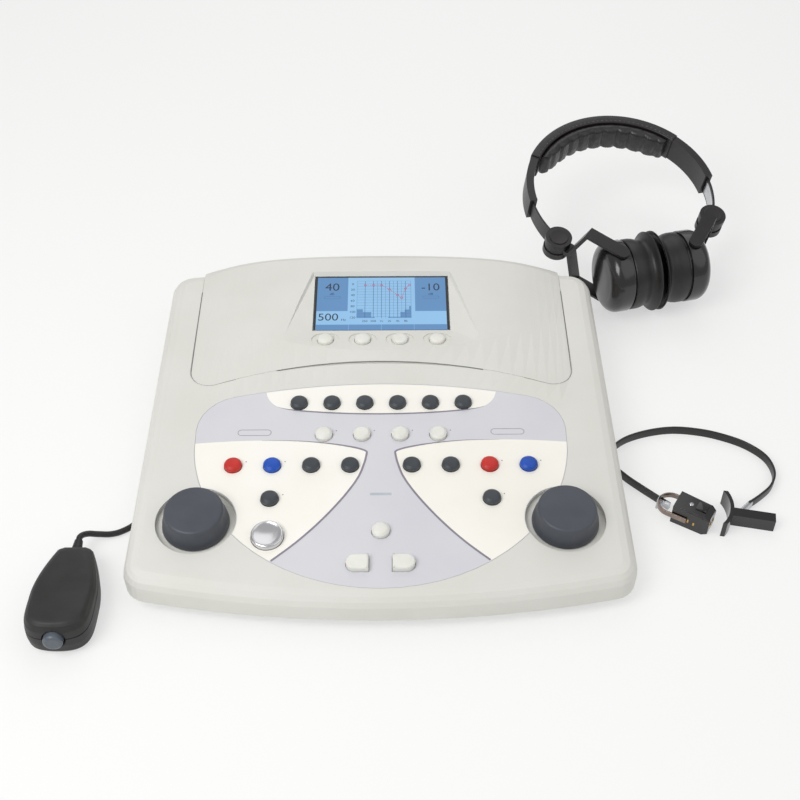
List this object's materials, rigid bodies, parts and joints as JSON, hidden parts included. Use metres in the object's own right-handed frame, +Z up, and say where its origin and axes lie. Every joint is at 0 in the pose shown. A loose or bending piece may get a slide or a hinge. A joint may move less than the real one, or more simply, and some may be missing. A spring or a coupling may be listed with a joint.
{
  "type": "audiometer",
  "caption": "Desk audiometer with sloped key panel, sunken screen and two level dials, with its response handset, headphones and bone conduction set.",
  "frame": {"origin": "underside of the console's centre foot, on the table", "axes": "+Z up, +Y to the console's back, +X to the right of someone using it"},
  "size_m": [0.6078, 0.6054, 0.1056],
  "materials": {
    "shell": "satin, warm light grey",
    "overlay": "matt film, grey and cream fields",
    "window": "clear lens",
    "lcd": "dark screen module",
    "board": "green board",
    "switch": "matt",
    "foot": "matt",
    "screw": "plated",
    "socket": "matt",
    "dark_key": "satin",
    "white_key": "satin",
    "red_key": "satin",
    "blue_key": "satin",
    "chrome_key": "spun",
    "dial": "satin",
    "handset": "fine texture",
    "button": "satin",
    "cord": "satin",
    "band": "satin",
    "pad": "wrinkled",
    "slider": "brushed inside, black outside",
    "yoke": "satin",
    "cup": "satin",
    "cushion": "soft, satin",
    "bone_band": "black sleeve over spring steel",
    "vibrator": "glossy"
  },
  "bodies": {
    "console": {"base_tray": "shell", "top_shell": "shell", "rear_cover": "shell", "control_overlay": "overlay", "display_window": "window", "lcd_module": "lcd", "circuit_boards": "board", "switch_bodies": "switch", "rubber_feet": "foot", "case_screws": "screw", "rear_sockets": "socket", "handset_upper": "handset", "handset_lower": "handset", "cord_ends": "cord", "handset_cord": "cord", "cord_coil": "cord"},
    "soft_key_1": {"soft_key_1": "white_key"},
    "soft_key_2": {"soft_key_2": "white_key"},
    "soft_key_3": {"soft_key_3": "white_key"},
    "soft_key_4": {"soft_key_4": "white_key"},
    "menu_key_1": {"menu_key_1": "dark_key"},
    "menu_key_2": {"menu_key_2": "dark_key"},
    "menu_key_3": {"menu_key_3": "dark_key"},
    "menu_key_4": {"menu_key_4": "dark_key"},
    "menu_key_5": {"menu_key_5": "dark_key"},
    "menu_key_6": {"menu_key_6": "dark_key"},
    "mode_key_1": {"mode_key_1": "white_key"},
    "mode_key_2": {"mode_key_2": "white_key"},
    "mode_key_3": {"mode_key_3": "white_key"},
    "mode_key_4": {"mode_key_4": "white_key"},
    "stim_right_key": {"stim_right_key": "red_key"},
    "stim_left_key": {"stim_left_key": "blue_key"},
    "stim_output_key": {"stim_output_key": "dark_key"},
    "stim_input_key": {"stim_input_key": "dark_key"},
    "mask_input_key": {"mask_input_key": "dark_key"},
    "mask_output_key": {"mask_output_key": "dark_key"},
    "mask_right_key": {"mask_right_key": "red_key"},
    "mask_left_key": {"mask_left_key": "blue_key"},
    "stim_mode_key": {"stim_mode_key": "dark_key"},
    "mask_mode_key": {"mask_mode_key": "dark_key"},
    "store_key": {"store_key": "white_key"},
    "freq_down_key": {"freq_down_key": "white_key"},
    "freq_up_key": {"freq_up_key": "white_key"},
    "interrupter_key": {"interrupter_key": "chrome_key"},
    "stim_dial": {"stim_dial": "dial"},
    "mask_dial": {"mask_dial": "dial"},
    "handset_button": {"handset_button": "button"},
    "headband": {"headband_arch": "band", "headband_pad": "pad"},
    "slider_left": {"slider_left": "slider"},
    "slider_right": {"slider_right": "slider"},
    "yoke_left": {"yoke_left": "yoke"},
    "yoke_right": {"yoke_right": "yoke"},
    "ear_left": {"cup_left": "cup", "cushion_left": "cushion"},
    "ear_right": {"cup_right": "cup", "cushion_right": "cushion"},
    "bone_set": {"bone_band": "bone_band", "temple_pad": "vibrator"},
    "bone_vibrator": {"bone_vibrator": "vibrator"}
  },
  "joints": [
    {"name": "soft_key_1_press", "type": "slide", "parent": "console", "child": "soft_key_1", "axis": [0, -0.0658, -0.9978], "range_m": [0, 0.0012], "stiffness_N_per_m": 600, "springref_m": -0.0005},
    {"name": "soft_key_2_press", "type": "slide", "parent": "console", "child": "soft_key_2", "axis": [0, -0.0658, -0.9978], "range_m": [0, 0.0012], "stiffness_N_per_m": 600, "springref_m": -0.0005},
    {"name": "soft_key_3_press", "type": "slide", "parent": "console", "child": "soft_key_3", "axis": [0, -0.0658, -0.9978], "range_m": [0, 0.0012], "stiffness_N_per_m": 600, "springref_m": -0.0005},
    {"name": "soft_key_4_press", "type": "slide", "parent": "console", "child": "soft_key_4", "axis": [0, -0.0658, -0.9978], "range_m": [0, 0.0012], "stiffness_N_per_m": 600, "springref_m": -0.0005},
    {"name": "menu_key_1_press", "type": "slide", "parent": "console", "child": "menu_key_1", "axis": [0, 0.0785, -0.9969], "range_m": [0, 0.0012], "stiffness_N_per_m": 600, "springref_m": -0.0005},
    {"name": "menu_key_2_press", "type": "slide", "parent": "console", "child": "menu_key_2", "axis": [0, 0.0785, -0.9969], "range_m": [0, 0.0012], "stiffness_N_per_m": 600, "springref_m": -0.0005},
    {"name": "menu_key_3_press", "type": "slide", "parent": "console", "child": "menu_key_3", "axis": [0, 0.0785, -0.9969], "range_m": [0, 0.0012], "stiffness_N_per_m": 600, "springref_m": -0.0005},
    {"name": "menu_key_4_press", "type": "slide", "parent": "console", "child": "menu_key_4", "axis": [0, 0.0785, -0.9969], "range_m": [0, 0.0012], "stiffness_N_per_m": 600, "springref_m": -0.0005},
    {"name": "menu_key_5_press", "type": "slide", "parent": "console", "child": "menu_key_5", "axis": [0, 0.0785, -0.9969], "range_m": [0, 0.0012], "stiffness_N_per_m": 600, "springref_m": -0.0005},
    {"name": "menu_key_6_press", "type": "slide", "parent": "console", "child": "menu_key_6", "axis": [0, 0.0785, -0.9969], "range_m": [0, 0.0012], "stiffness_N_per_m": 600, "springref_m": -0.0005},
    {"name": "mode_key_1_press", "type": "slide", "parent": "console", "child": "mode_key_1", "axis": [0, 0.0785, -0.9969], "range_m": [0, 0.0012], "stiffness_N_per_m": 600, "springref_m": -0.0005},
    {"name": "mode_key_2_press", "type": "slide", "parent": "console", "child": "mode_key_2", "axis": [0, 0.0785, -0.9969], "range_m": [0, 0.0012], "stiffness_N_per_m": 600, "springref_m": -0.0005},
    {"name": "mode_key_3_press", "type": "slide", "parent": "console", "child": "mode_key_3", "axis": [0, 0.0785, -0.9969], "range_m": [0, 0.0012], "stiffness_N_per_m": 600, "springref_m": -0.0005},
    {"name": "mode_key_4_press", "type": "slide", "parent": "console", "child": "mode_key_4", "axis": [0, 0.0785, -0.9969], "range_m": [0, 0.0012], "stiffness_N_per_m": 600, "springref_m": -0.0005},
    {"name": "stim_right_key_press", "type": "slide", "parent": "console", "child": "stim_right_key", "axis": [0, 0.0785, -0.9969], "range_m": [0, 0.0012], "stiffness_N_per_m": 600, "springref_m": -0.0005},
    {"name": "stim_left_key_press", "type": "slide", "parent": "console", "child": "stim_left_key", "axis": [0, 0.0785, -0.9969], "range_m": [0, 0.0012], "stiffness_N_per_m": 600, "springref_m": -0.0005},
    {"name": "stim_output_key_press", "type": "slide", "parent": "console", "child": "stim_output_key", "axis": [0, 0.0785, -0.9969], "range_m": [0, 0.0012], "stiffness_N_per_m": 600, "springref_m": -0.0005},
    {"name": "stim_input_key_press", "type": "slide", "parent": "console", "child": "stim_input_key", "axis": [0, 0.0785, -0.9969], "range_m": [0, 0.0012], "stiffness_N_per_m": 600, "springref_m": -0.0005},
    {"name": "mask_input_key_press", "type": "slide", "parent": "console", "child": "mask_input_key", "axis": [0, 0.0785, -0.9969], "range_m": [0, 0.0012], "stiffness_N_per_m": 600, "springref_m": -0.0005},
    {"name": "mask_output_key_press", "type": "slide", "parent": "console", "child": "mask_output_key", "axis": [0, 0.0785, -0.9969], "range_m": [0, 0.0012], "stiffness_N_per_m": 600, "springref_m": -0.0005},
    {"name": "mask_right_key_press", "type": "slide", "parent": "console", "child": "mask_right_key", "axis": [0, 0.0785, -0.9969], "range_m": [0, 0.0012], "stiffness_N_per_m": 600, "springref_m": -0.0005},
    {"name": "mask_left_key_press", "type": "slide", "parent": "console", "child": "mask_left_key", "axis": [0, 0.0785, -0.9969], "range_m": [0, 0.0012], "stiffness_N_per_m": 600, "springref_m": -0.0005},
    {"name": "stim_mode_key_press", "type": "slide", "parent": "console", "child": "stim_mode_key", "axis": [0, 0.0785, -0.9969], "range_m": [0, 0.0012], "stiffness_N_per_m": 600, "springref_m": -0.0005},
    {"name": "mask_mode_key_press", "type": "slide", "parent": "console", "child": "mask_mode_key", "axis": [0, 0.0785, -0.9969], "range_m": [0, 0.0012], "stiffness_N_per_m": 600, "springref_m": -0.0005},
    {"name": "store_key_press", "type": "slide", "parent": "console", "child": "store_key", "axis": [0, 0.0785, -0.9969], "range_m": [0, 0.0012], "stiffness_N_per_m": 600, "springref_m": -0.0005},
    {"name": "freq_down_key_press", "type": "slide", "parent": "console", "child": "freq_down_key", "axis": [0, 0.0785, -0.9969], "range_m": [0, 0.0012], "stiffness_N_per_m": 600, "springref_m": -0.0005},
    {"name": "freq_up_key_press", "type": "slide", "parent": "console", "child": "freq_up_key", "axis": [0, 0.0785, -0.9969], "range_m": [0, 0.0012], "stiffness_N_per_m": 600, "springref_m": -0.0005},
    {"name": "interrupter_key_press", "type": "slide", "parent": "console", "child": "interrupter_key", "axis": [0, 0.0785, -0.9969], "range_m": [0, 0.0012], "stiffness_N_per_m": 600, "springref_m": -0.0005},
    {"name": "stim_dial_turn", "type": "hinge", "parent": "console", "child": "stim_dial", "pos_m": [-0.1445, -0.1095, 0.03837], "axis": [0, -0.0785, 0.9969], "continuous": true},
    {"name": "mask_dial_turn", "type": "hinge", "parent": "console", "child": "mask_dial", "pos_m": [0.1445, -0.1095, 0.03837], "axis": [0, -0.0785, 0.9969], "continuous": true},
    {"name": "handset_button_press", "type": "slide", "parent": "console", "child": "handset_button", "axis": [0, 1, 0], "range_m": [0, 0.002], "stiffness_N_per_m": 500, "springref_m": -0.0005},
    {"name": "headset_lift", "type": "slide", "parent": "console", "child": "headband", "axis": [0, 0, 1], "range_m": [0, 0.15]},
    {"name": "slider_left_in", "type": "hinge", "parent": "headband", "child": "slider_left", "pos_m": [0.24046, 0.29598, 0.06489], "axis": [-0.062, 0.2686, -0.9613], "range_deg": [0, 6]},
    {"name": "hub_left_fold", "type": "hinge", "parent": "slider_left", "child": "yoke_left", "pos_m": [0.17189, 0.23418, 0.05204], "axis": [-0.062, 0.2686, -0.9613], "range_deg": [0, 6]},
    {"name": "cup_left_tilt", "type": "hinge", "parent": "yoke_left", "child": "ear_left", "pos_m": [0.22495, 0.19868, 0.0387], "axis": [-0.062, 0.2686, -0.9613], "range_deg": [-3.5, 3.5]},
    {"name": "slider_right_in", "type": "hinge", "parent": "headband", "child": "slider_right", "pos_m": [0.24046, 0.29598, 0.06489], "axis": [0.062, -0.2686, 0.9613], "range_deg": [0, 6]},
    {"name": "hub_right_fold", "type": "hinge", "parent": "slider_right", "child": "yoke_right", "pos_m": [0.32918, 0.27049, 0.05204], "axis": [0.062, -0.2686, 0.9613], "range_deg": [0, 6]},
    {"name": "cup_right_tilt", "type": "hinge", "parent": "yoke_right", "child": "ear_right", "pos_m": [0.29705, 0.21532, 0.0387], "axis": [0.062, -0.2686, 0.9613], "range_deg": [-3.5, 3.5]},
    {"name": "bone_set_lift", "type": "slide", "parent": "console", "child": "bone_set", "axis": [0.6, 0, 0.8], "range_m": [0, 0.15]},
    {"name": "vibrator_pivot", "type": "hinge", "parent": "bone_set", "child": "bone_vibrator", "pos_m": [0.24856, -0.07629, 0.0095], "axis": [-0.5299, -0.848, 0], "range_deg": [0, 20]}
  ]
}
